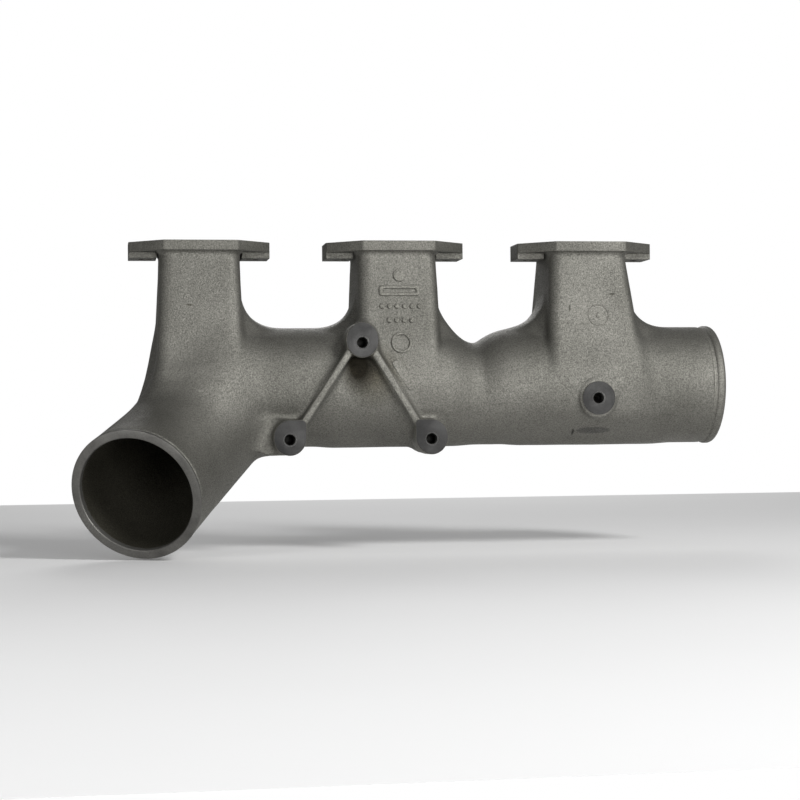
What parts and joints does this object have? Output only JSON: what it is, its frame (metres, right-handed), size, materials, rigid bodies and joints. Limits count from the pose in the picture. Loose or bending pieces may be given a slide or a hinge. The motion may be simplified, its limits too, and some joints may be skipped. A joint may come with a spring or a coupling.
{
  "type": "exhaust manifold",
  "caption": "Cast iron engine manifold with flanged rectangular necks on a common round barrel, a hose spigot at one end, an open elbow at the other and a braced bracket pad on the front.",
  "frame": {"origin": "centre of the middle port, on the gasket plane", "axes": "+X along the barrel toward the hose spigot, +Y toward the engine side away from the bracket bosses, +Z out of the gasket faces"},
  "size_m": [0.5151, 0.1655, 0.2426],
  "materials": {
    "cast_iron": "sand-cast, grey with a warm olive tint",
    "machined_iron": "fine machined, satin"
  },
  "bodies": {
    "root": {"port_flange_1": "machined_iron", "port_flange_2": "machined_iron", "port_flange_3": "machined_iron", "runner_1": "cast_iron", "runner_2": "cast_iron", "runner_3": "cast_iron", "elbow_rim": "machined_iron", "elbow_tube": "cast_iron", "barrel_end": "cast_iron", "barrel_1": "cast_iron", "barrel_junction_2": "cast_iron", "barrel_2": "cast_iron", "barrel_junction_3": "cast_iron", "spigot_tube": "cast_iron", "spigot_rim": "machined_iron", "bracket_boss_top": "machined_iron", "bracket_boss_left": "machined_iron", "bracket_boss_right": "machined_iron", "bracket_rib_left": "cast_iron", "bracket_rib_right": "cast_iron", "probe_boss": "machined_iron"}
  },
  "joints": []
}
